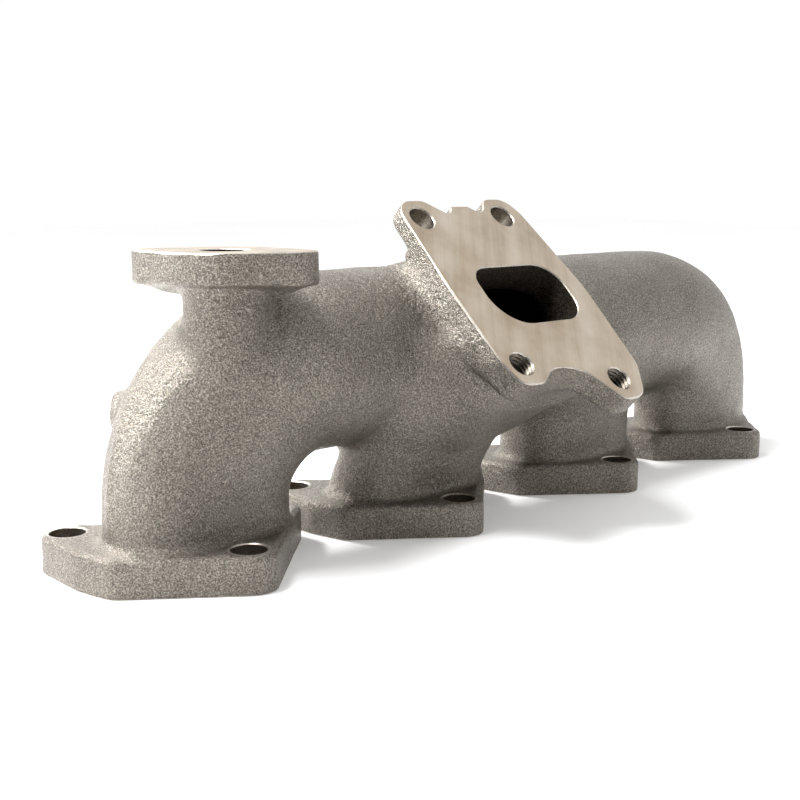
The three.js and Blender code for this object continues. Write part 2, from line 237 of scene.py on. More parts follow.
relief_outline = oval_outline(RELIEF_LONG, RELIEF_WIDE, RELIEF_END_R)
print("relief flange:", len(relief_outline), "points")


# %% [markdown]
# ## Frames for the tilted pieces
# A tilted flange is easiest in its own flat frame: u along the row, v up the slope and w out
# of the machined face. A frame is then a place and three directions, and one small function
# turns its coordinates into the shared ones. The places come from the boxes of the nodes.

# %% Local frames
def in_frame(where, points):
    origin, axes = where
    return origin + np.asarray(points, float) @ axes


def upright(x, y, z, turn=0.0):
    c, s = math.cos(turn), math.sin(turn)
    return np.array([x, y, z], float), np.array([[c, s, 0], [-s, c, 0], [0, 0, 1.0]])


TILT = math.radians(45)
tilt_c, tilt_s = math.cos(TILT), math.sin(TILT)
turbo_low, turbo_high = node_box("turbo_flange")
turbo_at = np.array([
    turbo_low[0] - turbo_outline[:, 0].min(),
    turbo_low[1] - turbo_outline[:, 1].min() * tilt_c,
    turbo_high[2] - turbo_outline[:, 1].max() * tilt_s,
])
turbo_frame = turbo_at, np.array([[1.0, 0, 0], [0, tilt_c, tilt_s], [0, -tilt_s, tilt_c]])

relief_low, relief_high = node_box("relief_flange")
relief_x, relief_y = (relief_low[:2] + relief_high[:2]) / 2
relief_top, relief_under = relief_high[2], relief_low[2]
relief_frame = upright(relief_x, relief_y, 0, RELIEF_TURN)
head_frames = [upright(x, port_y, 0) for x in port_x]
print("turbocharger face at", turbo_at.round(2), "relief face at z", round(relief_top, 2))


# %% [markdown]
# ## Lofts and plates
# A runner changes from a wide oval at the head to a circle at the log. It is lofted through
# rings that are superellipses: a power of 2 gives an ellipse and more gives squarer sides.
# Every loft ends in two caps, because only a closed mesh has an inside.

# %% Rings and skins
RING_POINTS = 96


def ring(middle, along, across, half_along, half_across, squareness=2.0):
    angle = np.linspace(0, 2 * math.pi, RING_POINTS, endpoint=False)
    c = np.sign(np.cos(angle)) * np.abs(np.cos(angle)) ** (2 / squareness)
    s = np.sign(np.sin(angle)) * np.abs(np.sin(angle)) ** (2 / squareness)
    sideways = np.outer(half_along * c, along)
    return np.asarray(middle, float) + sideways + np.outer(half_across * s, across)


def skin(loops, first_cap=None, last_cap=None):
    """Closed mesh through loops of equal length. A cap is a list of triangles, or a fan."""
    loops = np.asarray(loops)
    rows, count = loops.shape[:2]
    faces = []
    for r in range(rows - 1):
        a = r * count + np.arange(count)
        b = r * count + (np.arange(count) + 1) % count
        faces += [np.stack([a, b, b + count], 1), np.stack([a, b + count, a + count], 1)]
    fan = np.array([[0, i, i + 1] for i in range(1, count - 1)])
    first = fan if first_cap is None else np.array(first_cap)
    last = fan if last_cap is None else np.array(last_cap)
    faces += [first[:, ::-1], last + (rows - 1) * count]
    return loops.reshape(-1, 3), np.concatenate(faces)


# %% [markdown]
# ## Plates and turned shapes
# A plate is an outline pulled straight, and it may flare. A lathe shape is a list of radii and
# heights. Both use the same skin as a runner does. Only a plate with hollows in its outline
# needs care: its caps are cut into triangles properly, as a fan would cross the hollows.

# %% Plates and turned shapes
def plate(outline, low, high, where, low_grow=0.0, high_grow=0.0):
    flat = [Vector((x, y, 0)) for x, y in outline]
    cap = np.array(tessellate_polygon([flat]))
    edge_a = outline[cap[:, 1]] - outline[cap[:, 0]]
    edge_b = outline[cap[:, 2]] - outline[cap[:, 0]]
    flipped = edge_a[:, 0] * edge_b[:, 1] - edge_a[:, 1] * edge_b[:, 0] < 0
    cap[flipped] = cap[flipped][:, ::-1]
    x, y = outline.T
    if (x * np.roll(y, -1) - np.roll(x, -1) * y).sum() < 0:
        outline, cap = outline[::-1], (len(outline) - 1 - cap)
    loops = []
    for height, grow in ((low, low_grow), (high, high_grow)):
        ring_2d = grown(outline, grow) if grow else outline
        heights = np.full((len(outline), 1), float(height))
        loops.append(in_frame(where, np.hstack([ring_2d, heights])))
    return skin(loops, cap, cap)


def turned(profile, where, at=(0.0, 0.0), sides=64):
    """A lathe shape: (radius, height) pairs turned about the w axis at a place (u, v)."""
    angle = np.linspace(0, 2 * math.pi, sides, endpoint=False)
    loops = []
    for radius, height in profile:
        u, v = at[0] + radius * np.cos(angle), at[1] + radius * np.sin(angle)
        loops.append(in_frame(where, np.stack([u, v, np.full(sides, float(height))], 1)))
    return skin(loops)


# %% [markdown]
# ## The log and its two end runners
# The casting's outer skin and its gas passages share one set of curves, and the passage stands
# a wall's thickness inside. The two end runners and the log are one continuous bent tube, from
# the first foot over the top to the last foot, so no seam shows where they meet. A passage
# starts below the head face, so that the cut through that face is clean.

# %% Tube
FOOT_INSIDE_PLATE = 5.0  # the skins start this far inside the head flange
PAST_HEAD_FACE = 2.0  # and the passages start this far below the head face
FOOT_STRAIGHT = 4.0  # the last ring of the straight foot stands this far under the bend
bend_z = log_z - BEND_R


def smooth(share):
    return share * share * (3 - 2 * share)


def mix(a, b, share):
    return a + (b - a) * share


def foot_start(inset):
    return -PAST_HEAD_FACE if inset else FLANGE_TOP - FOOT_INSIDE_PLATE


def tube(inset, steps=28):
    """Rings from the first foot, over its bend, along the log and down to the last foot."""
    rings = []
    start = foot_start(inset)
    for side, port in ((-1, port_x[0]), (1, port_x[3])):
        stations = [(0.0, start), (0.0, bend_z - FOOT_STRAIGHT)]
        stations += [(i / steps, None) for i in range(steps + 1)]
        for share, z in stations[::-side]:
            angle, blend = share * math.pi / 2, smooth(share)
            middle = (port - side * BEND_R * (1 - math.cos(angle)),
                      port_y + PORT_TO_LOG_Y * blend,
                      bend_z + BEND_R * math.sin(angle) if z is None else z)
            rings.append(ring(
                middle, (-side * math.cos(angle), 0, -math.sin(angle)), (0, 1, 0),
                mix(FOOT_WIDE, LOG_R, blend) - inset, mix(FOOT_DEEP, LOG_R, blend) - inset,
                mix(FOOT_SQUARENESS, 2.0, blend),
            ))
    return rings


print("the end bends start", round(bend_z, 2), "mm above the head face")


# %% [markdown]
# ## The two middle runners
# They are short risers. The second one leans forward to feed the turbocharger's neck, and the
# third goes almost straight up into the log. Each is a loft from the same foot as the end
# runners, so only the lean and the size at the top differ.

# %% Middle runners
# For each: how far its top leans along x, y and z, then its half sizes along and across the row.
LEAN = {1: (18.0, -22.0, 5.0, 33.0, 21.0), 2: (-2.0, -2.0, -1.0, 29.0, 24.0)}
TOP_SQUARENESS = 2.2


def middle_rings(which, inset, steps=24):
    lean_x, lean_y, lean_z, half_along, half_across = LEAN[which]
    top = log_z + lean_z
    stations = [(0.0, foot_start(inset))]
    stations += [(i / steps, mix(FLANGE_TOP, top, i / steps)) for i in range(steps + 1)]
    rings = []
    for share, z in stations:
        blend = smooth(share)
        middle = (port_x[which] + lean_x * blend,
                  port_y + (lean_y + PORT_TO_LOG_Y) * blend, z)
        rings.append(ring(
            middle, (1, 0, 0), (0, 1, 0), mix(FOOT_WIDE, half_along, blend) - inset,
            mix(FOOT_DEEP, half_across, blend) - inset, mix(FOOT_SQUARENESS, TOP_SQUARENESS, blend),
        ))
    return rings


print("middle runners at x", round(port_x[1], 2), round(port_x[2], 2))


# %% [markdown]
# ## The turbocharger's neck
# A square block of metal stands under the tilted flange and shrinks into the log. Its passage
# starts as wide as the port. The rings lie across the flange's own direction, so the loft runs
# straight down that direction to the log's axis, whose depth is one dot product.

# %% Turbocharger neck
TURBO_THICK = 10.5
NECK_STRAIGHT = 22.0  # depth at which the skin starts to shrink
NECK_STEPS = 12
BLOCK_TOP, PASSAGE_TOP = 4.0, 2.0  # how far under the face the skin and the passage start
BLOCK_SQUARENESS, PASSAGE_SQUARENESS = 4.0, 3.0
NECK_FLAT = 6.0  # the neck's root is this much narrower up the slope than along the row
NECK_BLOCK = (1.5, -0.5, 30.0, 31.0)  # u, v and half sizes of the skin under the flange
NECK_PASSAGE = (
    (PORT_LEFT + PORT_RIGHT) / 2, (PORT_BOTTOM + PORT_TOP) / 2,
    (PORT_RIGHT - PORT_LEFT) / 2, (PORT_TOP - PORT_BOTTOM) / 2,
)
log_depth = -(np.array([0, log_y, log_z]) - turbo_at) @ turbo_frame[1][2]


def neck_rings(inset):
    start = NECK_PASSAGE if inset else NECK_BLOCK
    root = (0.0, 0.0, LOG_R - inset, LOG_R - inset - NECK_FLAT)
    straight = TURBO_THICK if inset else NECK_STRAIGHT
    stations = [(0.0, PASSAGE_TOP if inset else BLOCK_TOP)]
    shares = [i / NECK_STEPS for i in range(NECK_STEPS + 1)]
    stations += [(share, mix(straight, log_depth, share)) for share in shares]
    rings = []
    for share, depth in stations:
        u, v, half_u, half_v = [mix(a, b, share) for a, b in zip(start, root)]
        rings.append(ring(
            in_frame(turbo_frame, (u, v, -depth)), turbo_frame[1][0], turbo_frame[1][1],
            half_u, half_v, PASSAGE_SQUARENESS if inset else BLOCK_SQUARENESS,
        ))
    return rings


print("log axis is", round(log_depth, 2), "mm under the turbocharger face")


# %% [markdown]
# ## A volume instead of a mesh
# Fillets are what make a casting look cast. On a mesh they are hard where several curved skins
# meet, but in a volume of distances they are one line: where two shapes are both within a
# radius, a rounded union replaces the nearer of the two distances. OpenVDB turns a closed mesh
# into such a volume, here with a sample every 0.8 mm. The shading is later read from the volume
# too, so those steps don't show.

# %% Volume of distances
VOXEL = 0.8
MARGIN = 6  # samples kept free round the part
INSIDE_BAND = 4.0  # samples inside a skin that hold a true distance
grid_start = np.floor(cad_low / VOXEL).astype(int) - MARGIN
grid_size = np.ceil(cad_high / VOXEL).astype(int) + MARGIN - grid_start
to_world = vdb.createLinearTransform(voxelSize=VOXEL)


def distances(mesh, reach=15.0, offset=0.0, quads=False):
    points, faces = mesh
    kind = {"quads" if quads else "triangles": np.ascontiguousarray(faces, np.uint32)}
    grid = vdb.FloatGrid.createLevelSetFromPolygons(
        np.ascontiguousarray(points, np.float32), transform=to_world,
        exBandWidth=reach / VOXEL, inBandWidth=INSIDE_BAND, **kind,
    )
    volume = np.empty(grid_size, np.float32)
    grid.copyToArray(volume, ijk=tuple(int(i) for i in grid_start))
    return volume - np.float32(offset)


def rounded_union(a, b, radius):
    both = np.hypot(np.maximum(radius - a, 0), np.maximum(radius - b, 0))
    return np.maximum(radius, np.minimum(a, b)) - both


def surface(volume, level=0.0):
    grid = vdb.FloatGrid(background=float(volume.max()))
    grid.copyFromArray(np.ascontiguousarray(volume), ijk=tuple(int(i) for i in grid_start))
    grid.transform = to_world
    grid.gridClass = vdb.GridClass.LEVEL_SET
    return grid.convertToQuads(isovalue=level)


print("volume of", "x".join(str(n) for n in grid_size), "samples of", VOXEL, "mm")


# %% [markdown]
# ## Casting the body
# The tube comes first, then the two middle runners and the two necks, each with the fillet
# that the pattern maker would give it. A log and a runner meet in a wide sweep, and the small
# relief neck in a tight one.

# %% Cast the body
RUNNER_FILLET, TURBO_FILLET, NECK_FILLET = 9.0, 11.0, 2.2
RELIEF_BORE_R = 7.7
RELIEF_NECK_R = RELIEF_BORE_R + WALL
cast = distances(skin(tube(0.0)))
for which in LEAN:
    runner = distances(skin(middle_rings(which, 0.0)))
    cast = rounded_union(cast, runner, RUNNER_FILLET)
cast = rounded_union(cast, distances(skin(neck_rings(0.0))), TURBO_FILLET)
relief_neck = turned([(RELIEF_NECK_R, log_z), (RELIEF_NECK_R, relief_top - 3)], relief_frame)
cast = rounded_union(cast, distances(relief_neck), NECK_FILLET)
print("body cast in", "x".join(str(n) for n in cast.shape), "samples")


# %% [markdown]
# ## The sensor boss
# A boss is a stub of solid metal for a sensor. It looks back and outwards from the first
# runner. Its end is found from the corner of its box, and three short steps round it off.

# %% Cast the boss
BOSS_R, BOSS_FILLET = 6.5, 4.0
BOSS_WAY = math.radians(140)  # from the row's direction, seen from above
BOSS_STEPS = ((22, 0), (1.2, 0), (0.4, 0.5), (0, 1.4))  # mm back from its end, mm off its radius
boss_low, boss_high = node_box("sensor_boss")
boss_way = np.array([math.cos(BOSS_WAY), math.sin(BOSS_WAY), 0])
boss_end = np.array([boss_low[0] + BOSS_R * boss_way[1], boss_high[1] + BOSS_R * boss_way[0],
                     (boss_low[2] + boss_high[2]) / 2])
boss_side = np.cross(boss_way, (0, 0, 1.0))
boss_rings = [
    ring(boss_end - boss_way * back, boss_side, (0, 0, 1), BOSS_R - taper, BOSS_R - taper)
    for back, taper in BOSS_STEPS
]
cast = rounded_union(cast, distances(skin(boss_rings)), BOSS_FILLET)
print("boss ends at", boss_end.round(2))


# %% [markdown]
# ## The head and relief flanges
# The plates come last, with a small radius at their feet. They stand a little proud of their
# finished faces, as a real casting leaves stock for the mill. Under the relief flange a flared
# shoulder carries its two ends.

# %% Cast the head and relief flanges
STOCK = 1.5  # mm that the mill takes off a raw face
FOOT_FILLET, RELIEF_FILLET = 3.0, 2.0
SHOULDER_DEEP, SHOULDER_FLARE, SHOULDER_FILLET = 4.0, 9.0, 1.5
head_plates = None
for where in head_frames:
    one = distances(plate(head_outline, -STOCK, FLANGE_TOP, where))
    head_plates = one if head_plates is None else np.minimum(head_plates, one)
cast = rounded_union(cast, head_plates, FOOT_FILLET)
relief_plate = distances(plate(relief_outline, relief_under, relief_top + STOCK, relief_frame))
cast = rounded_union(cast, relief_plate, RELIEF_FILLET)
shoulder = oval_outline(RELIEF_LONG - 1.5, RELIEF_NECK_R, RELIEF_END_R - 1)
shoulder = plate(shoulder, relief_under - SHOULDER_DEEP, relief_under + 1, relief_frame,
                 -SHOULDER_FLARE, 0.0)
cast = rounded_union(cast, distances(shoulder), SHOULDER_FILLET)
print("head flanges", FLANGE_TOP.round(2), "mm thick, relief flange from", relief_under.round(2))


# %% [markdown]
# ## The turbocharger flange
# Its two upper lobes are thinner, because a nut has to turn behind them. A round hollow is
# taken out of the plate behind each, before the plate is joined to the neck.

# %% Cast the turbocharger flange
TOP_HOLES = [(-22.0, 37.7), (18.1, 37.7)]
TAPPED_HOLES = [(-20.3, -26.6), (20.2, -38.1)]
LOBE_THICK, NUT_R, NUT_DEEP, PLATE_FILLET = 7.0, 10.0, 24.0, 3.0
turbo_plate = distances(plate(turbo_outline, -TURBO_THICK, STOCK, turbo_frame))
for hole in TOP_HOLES:
    hollow = distances(turned([(NUT_R, -NUT_DEEP), (NUT_R, -LOBE_THICK)], turbo_frame, hole))
    turbo_plate = np.maximum(turbo_plate, -hollow)
cast = rounded_union(cast, turbo_plate, PLATE_FILLET)
print("turbocharger flange", TURBO_THICK, "mm thick, its upper lobes", LOBE_THICK, "mm")


# %% [markdown]
# ## Rounding every outer edge
# Sand does not hold a sharp edge, so a casting's corners are all rounded by about a
# millimetre. Shrinking the volume by that radius and growing it back rounds each outer edge
# and leaves the inner fillets alone.

# %% Round the edges
EDGE_ROUND = 1.1
cast = distances(surface(cast, -EDGE_ROUND), reach=4.0, offset=EDGE_ROUND, quads=True)
print("edges rounded by", EDGE_ROUND, "mm")


# %% [markdown]
# ## The foundry's waviness
# A little slow waviness takes away the look of a perfect machine-made curve. White noise is
# blurred to one size of wave by a Fourier transform, which is quick on a whole volume. It only
# takes metal away, so the part stays inside its frame. Its seed makes each run the same.

# %% Waves
WAVE_SIZE, WAVE_HEIGHT = 9.0, 0.16  # mm, from crest to crest and from middle to crest
waves = np.random.default_rng(7).standard_normal(tuple(grid_size)).astype(np.float32)
spectrum = np.fft.rfftn(waves)
frequency = np.meshgrid(
    *[np.fft.fftfreq(n) for n in waves.shape[:2]], np.fft.rfftfreq(waves.shape[2]),
    indexing="ij", sparse=True,
)
roughly = sum(f * f for f in frequency) * (WAVE_SIZE / VOXEL) ** 2
waves = np.fft.irfftn(spectrum * np.exp(-2.0 * roughly), waves.shape).astype(np.float32)
waves = np.clip(waves / waves.std() / 2, -1, 1)
cast = cast + WAVE_HEIGHT * (1 + waves)
print("skin waved by", WAVE_HEIGHT, "mm")


# %% [markdown]
# ## The parting line
# Two halves of a mould leave a low ridge where they met. On this part it runs up the outer side
# of both end bends. It is a soft bump in the volume, faded out near the plates.

# %% Parting line
SEAM_WIDE, SEAM_HEIGHT = 1.9, 0.7
SEAM_STARTS, SEAM_FADE = 14.0, 6.0  # mm outside an end port's middle, and mm to full height
x, y, z = np.meshgrid(*[(low + np.arange(count)) * VOXEL for low, count in
                        zip(grid_start, grid_size)], indexing="ij", sparse=True)
seam_y = port_y + PORT_TO_LOG_Y * np.clip((z - bend_z) / BEND_R, 0, 1)
outside = np.maximum(port_x[0] - SEAM_STARTS - x, x - port_x[3] - SEAM_STARTS)
seam = np.exp(-((y - seam_y) / SEAM_WIDE) ** 2) * np.clip(outside / SEAM_FADE, 0, 1)
above_foot = np.clip((z - FLANGE_TOP - 2) / 3, 0, 1)
below_relief = np.clip((relief_under - SHOULDER_DEEP - z) / 3, 0, 1)
cast = (cast - SEAM_HEIGHT * seam * (above_foot * below_relief)).astype(np.float32)
print("parting line", SEAM_HEIGHT, "mm high")


# %% [markdown]
# ## The gas passages
# Sand cores make the hollow inside. The same tube and runners, a wall's thickness smaller, are
# joined with a small radius. They reach past the finished faces, so the cut opens cleanly.

# %% Core of the gas passages
CORE_REACH, CORE_FILLET, PAST_FACE = 6.0, 4.0, 3.0


def passage(mesh):
    return distances(mesh, reach=CORE_REACH)


gas = passage(skin(tube(WALL)))
for rings in [middle_rings(which, WALL) for which in LEAN] + [neck_rings(WALL)]:
    gas = rounded_union(gas, passage(skin(rings)), CORE_FILLET)
port_plug = plate(port_outline, -TURBO_THICK - 2, PAST_FACE, turbo_frame)
bore = turned([(RELIEF_BORE_R, log_z), (RELIEF_BORE_R, relief_top + PAST_FACE)], relief_frame)
for opening in (port_plug, bore):
    gas = np.minimum(gas, passage(opening))
print("gas passages", round(float((gas < 0).sum()) * VOXEL ** 3 / 1000), "cubic centimetres")


# %% [markdown]
# ## Solids for cutting
# Milling and drilling are exact, so they are booleans on the mesh of the casting. The cutters
# are a slab over each face, a drill with a countersink for each hole, and a thin slanted ring
# that breaks the sharp edge of each milled outline, as a fettler's file does.

# %% Cutters
workshop = bpy.data.collections.new("workshop")
bpy.context.scene.collection.children.link(workshop)


def solid(name, mesh):
    points, faces = mesh
    data = bpy.data.meshes.new(name)
    data.from_pydata(np.asarray(points, float).tolist(), [], np.asarray(faces).tolist())
    made = bpy.data.objects.new(name, data)
    workshop.objects.link(made)
    return made


def slab(low, high, where):
    corners = [(low[0], low[1]), (high[0], low[1]), (high[0], high[1]), (low[0], high[1])]
    return plate(np.array(corners), low[2], high[2], where)


def edge_breaker(outline, where, size=0.6, reach=1.4, spare=0.2):
    """A closed ring whose slanted inner wall breaks the edge of a face at w = 0."""
    loops = []
    for grow, height in ((-size - spare, spare), (spare, -size - spare),
                         (reach, -size - spare), (reach, spare)):
        flat = grown(outline, grow)
        loops.append(in_frame(where, np.hstack([flat, np.full((len(flat), 1), height)])))
    loops = np.asarray(loops)
    count = loops.shape[1]
    faces = []
    for r in range(4):
        a = r * count + np.arange(count)
        b = r * count + (np.arange(count) + 1) % count
        c, d = (b + count) % (4 * count), (a + count) % (4 * count)
        faces += [np.stack([a, b, c], 1), np.stack([a, c, d], 1)]
    return loops.reshape(-1, 3), np.concatenate(faces)


def drill(radius, low, high, mouth, countersink=0.4):
    """(radius, height) pairs of a drill with a countersink whose rim is at height mouth."""
    return [(radius, low), (radius, mouth - countersink), (radius + countersink, mouth),
            (radius + countersink + (high - mouth), high)]



# %% [markdown]
# ## The threads
# The two lower holes of the turbocharger flange are tapped. A thread is a groove that climbs
# one pitch with each turn, so the tap is a column whose radius depends on height plus angle.
# An M10 thread has a pitch of 1.5 mm, and 8 rows a pitch are enough to catch the light.

# %% Tap
THREAD_PITCH, TAP_CREST_R, TAP_ROOT_R = 1.5, 4.3, 5.0
TAP_DEPTH, TAP_LEAD = 10.0, 0.4  # mm, and how far under the face the thread gives way
TAP_MOUTH_R, TAP_MOUTH_AT = 5.5, 1.0  # the countersink's radius at a height above the face


def tap(depth, where, at, sides=48, rows_per_pitch=8):
    rows = int((depth - TAP_LEAD) / THREAD_PITCH * rows_per_pitch)
    angle = np.linspace(0, 2 * math.pi, sides, endpoint=False)
    loops = []
    for row in range(rows + 1):
        height = -depth + row * THREAD_PITCH / rows_per_pitch
        turn = (height / THREAD_PITCH - angle / (2 * math.pi)) % 1.0
        radius = mix(TAP_CREST_R, TAP_ROOT_R, np.abs(turn * 2 - 1))
        u, v = at[0] + radius * np.cos(angle), at[1] + radius * np.sin(angle)
        loops.append(in_frame(where, np.stack([u, v, np.full(sides, height)], 1)))
    u, v = at[0] + TAP_MOUTH_R * np.cos(angle), at[1] + TAP_MOUTH_R * np.sin(angle)
    loops.append(in_frame(where, np.stack([u, v, np.full(sides, TAP_MOUTH_AT)], 1)))
    return skin(loops)


print("thread of", TAP_DEPTH / THREAD_PITCH, "turns")


# %% [markdown]
# ## The set of cutters
# Three slabs take the stock off: under the head flanges, over the turbocharger face and over
# the relief face. Then come the drills, the taps and the files for the edges.

# %% Make the cutters
HEAD_BOLTS = [(-31.5, 26.0), (0.5, -26.5)]
HEAD_BOLT_R, TOP_HOLE_R = 5.6, 4.8
WIDE = 400.0  # wider than the part
PORT_EDGE, BORE_EDGE = 0.45, 0.3  # mm that the file takes off the port's and the bore's edge
cutters = [slab((-WIDE, -WIDE, -20), (WIDE, WIDE, 0), upright(0, 0, 0)),
           slab((-60, -70, 0), (60, 70, 20), turbo_frame),
           slab((-40, -30, relief_top), (40, 30, relief_top + 20), relief_frame)]
for where in head_frames:
    for bolt in HEAD_BOLTS:
        cutters.append(turned(drill(HEAD_BOLT_R, -3, FLANGE_TOP + 3, FLANGE_TOP - 0.1),
                              where, bolt))
for hole in TOP_HOLES:
    cutters.append(turned(drill(TOP_HOLE_R, -13, 2, 0), turbo_frame, hole))
for hole in TAPPED_HOLES:
    cutters.append(tap(TAP_DEPTH, turbo_frame, hole))
relief_face = relief_frame[0] + np.array([0, 0, relief_top]), relief_frame[1]
cutters.append(edge_breaker(turbo_outline, turbo_frame))
cutters.append(edge_breaker(relief_outline, relief_face))
cutters.append(plate(port_outline, -PORT_EDGE, 0.25, turbo_frame, -0.1, 0.6))
bore_edge = [(RELIEF_BORE_R, relief_top - BORE_EDGE), (RELIEF_BORE_R + 0.7, relief_top + 0.4)]
cutters.append(turned(bore_edge, relief_frame))
print(len(cutters), "cutters")


# %% [markdown]
# ## Machining
# One boolean after another is stacked on the casting as modifiers, and the result is read once.
# The Manifold solver is fast and exact on closed meshes, which all of these are.

# %% Mill, drill and hollow the casting
def quads_to_mesh(quads_made):
    points, quads = quads_made
    quads = quads[:, ::-1].astype(np.int64)
    return points, np.concatenate([quads[:, [0, 1, 2]], quads[:, [0, 2, 3]]])


def facing_out(mesh):
    points, faces = mesh
    points = np.asarray(points, float)
    a, b, c = points[faces[:, 0]], points[faces[:, 1]], points[faces[:, 2]]
    if np.einsum("ij,ij->", a, np.cross(b, c)) < 0:
        faces = faces[:, ::-1]
    return points, faces


def cut(body, operation, tools):
    """Applies one boolean after another to body and returns its new mesh."""
    for tool in tools:
        step = body.modifiers.new("cut", "BOOLEAN")
        step.operation, step.solver, step.object = operation, "MANIFOLD", tool
    view = bpy.context.evaluated_depsgraph_get()
    made = bpy.data.meshes.new_from_object(body.evaluated_get(view))
    body.modifiers.clear()
    return made


casting = solid("casting", facing_out(quads_to_mesh(surface(cast))))
core = solid("core", facing_out(quads_to_mesh(surface(gas))))
tools = [solid(f"cutter_{n}", facing_out(mesh)) for n, mesh in enumerate(cutters)]
casting.data = cut(casting, "DIFFERENCE", [core] + tools)
print("machined casting:", len(casting.data.polygons), "faces")


# %% [markdown]
# ## One object for each section
# The frame names fifteen sections, and each is its own closed piece here. The casting is cut
# on the same planes, so the pieces fill the same space. Regions with a slanted or curved limit
# are taken out first, and flat slabs then share what is left.

# %% Regions
BELOW, HIGH = -5.0, 200.0  # below and above the whole part
x_left = node_box("collector_left")[0][0]
x_centre_low, x_centre_high = [corner[0] for corner in node_box("collector_centre")]
x_right = node_box("collector_right")[1][0]
log_bottom = log_z - LOG_R
ground = upright(0, 0, 0)

first_runner_skin = solid("first_runner_skin", facing_out(skin(tube(0.0))))
neck_zone = turned([(RELIEF_NECK_R + 3, log_z + 5), (RELIEF_NECK_R + 3, relief_under)],
                   relief_frame)
neck_zone = solid("neck_zone", facing_out(neck_zone))
boss_zone = solid("boss_zone", facing_out(skin([
    ring(boss_end + boss_way * out, boss_side, (0, 0, 1), BOSS_R + 2, BOSS_R + 2)
    for out in (-20, 3)
])))
for zone in (neck_zone, boss_zone):
    zone.data = cut(zone, "DIFFERENCE", [first_runner_skin])


def block(name, low, high, where=ground):
    return solid(name + "_zone", facing_out(slab(low, high, where)))


regions = [
    ("turbo_flange", block("turbo", (-36, -55, -TURBO_THICK), (40, 55, 5), turbo_frame)),
    ("relief_flange", block("relief", (-40, -30, relief_under), (40, 30, 150), relief_frame)),
    ("relief_neck", neck_zone),
    ("sensor_boss", boss_zone),
]
for n, (low, high) in enumerate(head_boxes, 1):
    regions.append((f"head_flange_{n}", block(
        f"head_{n}", (low[0] - 1, low[1] - 5, BELOW), (high[0] + 1, high[1] + 5, FLANGE_TOP))))
for name, low_x, high_x, high_z in (
    ("runner_1", -WIDE, x_left, HIGH), ("runner_4", x_right, WIDE, HIGH),
    ("runner_2", -WIDE, row_middle, log_bottom), ("runner_3", row_middle, WIDE, log_bottom),
    ("collector_left", -WIDE, x_centre_low, HIGH), ("collector_right", x_centre_high, WIDE, HIGH),
):
    regions.append((name, block(name, (low_x, -WIDE, 0), (high_x, WIDE, high_z))))
regions.append(("collector_centre", None))
print(len(regions), "regions")


# %% [markdown]
# ## Cutting the sections apart
# Each region takes its share with one boolean and is then removed from the casting with
# another, so no metal is counted twice. The last section is what is left.

# %% Cut the sections apart
sections = {}
for name, zone in regions:
    if zone is None:
        sections[name] = casting.data
        continue
    sections[name] = cut(casting, "INTERSECT", [zone])
    casting.data = cut(casting, "DIFFERENCE", [zone])
for name, data in sections.items():
    print(name, len(data.polygons), "faces")


# %% [markdown]
# ## Colours and the one node helper
# Colours are written as a picture program shows them and turned to linear light once. A single
# helper adds a node, sets its options and fills its inputs with values or links.

# %% Helpers for materials
def linear(hex_colour):
    values = [int(hex_colour[i:i + 2], 16) / 255 for i in (1, 3, 5)]
    lit = [v / 12.92 if v <= 0.04045 else ((v + 0.055) / 1.055) ** 2.4 for v in values]
    return (*lit, 1.0)


def add_node(tree, kind, options=None, inputs=None):
    node = tree.nodes.new(kind)
    for name, value in (options or {}).items():
        setattr(node, name, value)
    for name, value in (inputs or {}).items():
        if isinstance(value, bpy.types.NodeSocket):
            tree.links.new(value, node.inputs[name])
        else:
            node.inputs[name].default_value = value
    return node


def new_material(name):
    material = bpy.data.materials.new(name)
    material.use_nodes = True
    tree = material.node_tree
    tree.nodes.clear()
    output = add_node(tree, "ShaderNodeOutputMaterial")
    shader = add_node(tree, "ShaderNodeBsdfPrincipled")
    tree.links.new(shader.outputs[0], output.inputs["Surface"])
    place = add_node(tree, "ShaderNodeTexCoord").outputs["Object"]
    return material, tree, shader, place


def per_mm(size):
    """Texture scale for features of that size in millimetres."""
    return 1 / (size * MM)


def set_ramp(node, stops):
    ramp = node.color_ramp
    while len(ramp.elements) < len(stops):
        ramp.elements.new(0.5)
    for element, (position, colour) in zip(ramp.elements, stops):
        element.position = position
        element.color = linear(colour)
    return node.outputs["Color"]


# %% [markdown]
# ## Cast skin
# Sand-cast iron, cleaned by steel shot. Sand leaves grains of under a millimetre, and the shot
# peens their tops bright while the pits stay dark. The eye sees a warm grey with a fine salt
# and pepper speckle that sparkles a little where the light grazes it. Bare iron is a metal,
# so metallic is 1, and it is rough because every grain faces its own way. The passages have the
# same grain, painted nearly black as painted shade inside the tubes.

# %% Shot-blasted cast iron
GRAIN, LUMP, CLOUD = 0.5, 1.9, 22.0  # mm: sand grain, clusters of grains, slow colour change
LUMP_SHARE = 1.4  # how much higher a cluster stands than a grain


